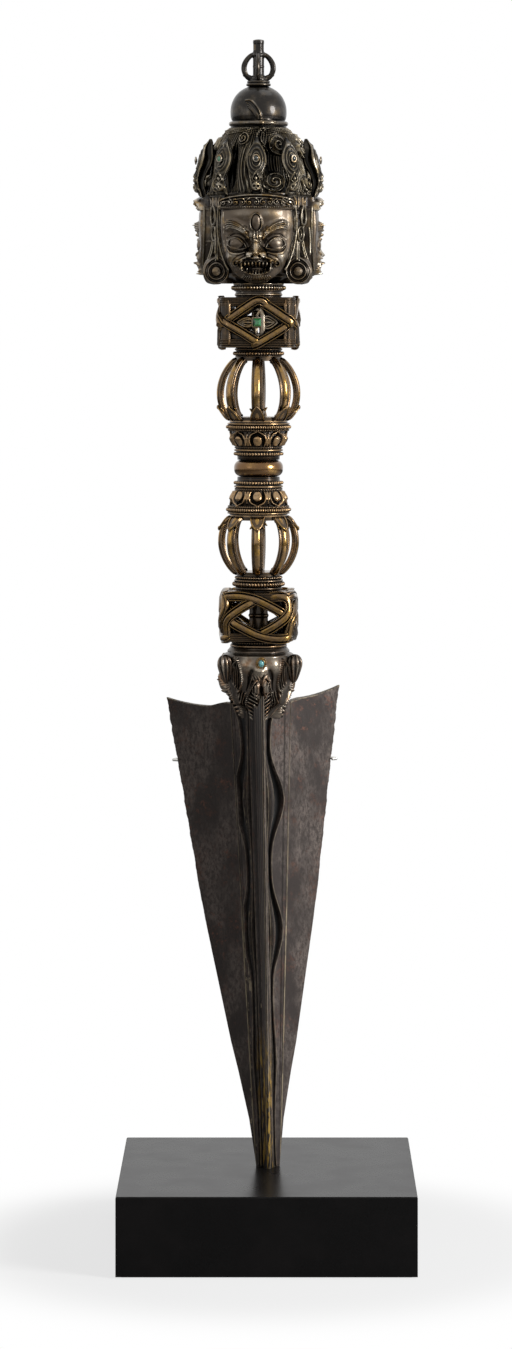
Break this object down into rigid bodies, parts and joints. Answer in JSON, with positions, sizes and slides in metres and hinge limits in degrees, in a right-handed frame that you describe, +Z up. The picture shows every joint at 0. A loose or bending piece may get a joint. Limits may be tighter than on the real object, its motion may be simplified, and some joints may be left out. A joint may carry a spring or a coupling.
{
  "type": "phurba on display stand",
  "caption": "Three-bladed ritual dagger with a caged vajra grip, woven knots and a three-faced crowned head, upright on a square display plinth.",
  "frame": {"origin": "centre of the plinth's underside, on the surface that it stands on", "axes": "+Z up along the dagger from tip to finial, -Y towards the viewer and the face over the front fin, +X to the viewer's right"},
  "size_m": [0.1036, 0.1036, 0.4278],
  "materials": {
    "black_lacquer": "satin black lacquer over a wooden block",
    "felt": "black wool felt",
    "steel_rod": "ground steel",
    "steel_wire": "bright drawn wire",
    "forged_iron": "forged iron with a dark brown-grey patina and light rust",
    "hilt_bronze": "dark patinated bronze, worn golden on its highs",
    "worn_bronze": "bronze polished by handling",
    "head_bronze": "dark patinated bronze with silvery worn highs",
    "dome_bronze": "dark grey-brown patinated bronze",
    "turquoise": "polished turquoise",
    "green_stone": "polished green stone"
  },
  "bodies": {
    "stand": {"plinth": "black_lacquer", "felt_pad": "felt", "support_rod": "steel_rod", "left_prong": "steel_wire", "right_prong": "steel_wire"},
    "phurba": {"blade": "forged_iron", "makara_head": "hilt_bronze", "makara_bezels": "hilt_bronze", "makara_turquoises": "turquoise", "makara_collar": "hilt_bronze", "lower_knot": "hilt_bronze", "knot_post": "hilt_bronze", "lower_collar": "hilt_bronze", "lower_cage": "hilt_bronze", "lower_lotus": "hilt_bronze", "grip_bead": "worn_bronze", "upper_lotus": "hilt_bronze", "upper_cage": "hilt_bronze", "upper_collar": "hilt_bronze", "upper_knot": "hilt_bronze", "knot_settings": "hilt_bronze", "knot_stones": "green_stone", "neck_collar": "hilt_bronze", "head": "head_bronze", "earrings": "head_bronze", "crown_band": "head_bronze", "crown_leaves": "head_bronze", "leaf_bezels": "head_bronze", "leaf_stones": "green_stone", "hair_mound": "head_bronze", "topknot_dome": "dome_bronze", "finial_collar": "dome_bronze", "finial_vajra": "dome_bronze"}
  },
  "joints": [
    {"name": "lift_off", "type": "slide", "parent": "stand", "child": "phurba", "axis": [0, 0, 1], "range_m": [0, 0.15]}
  ]
}
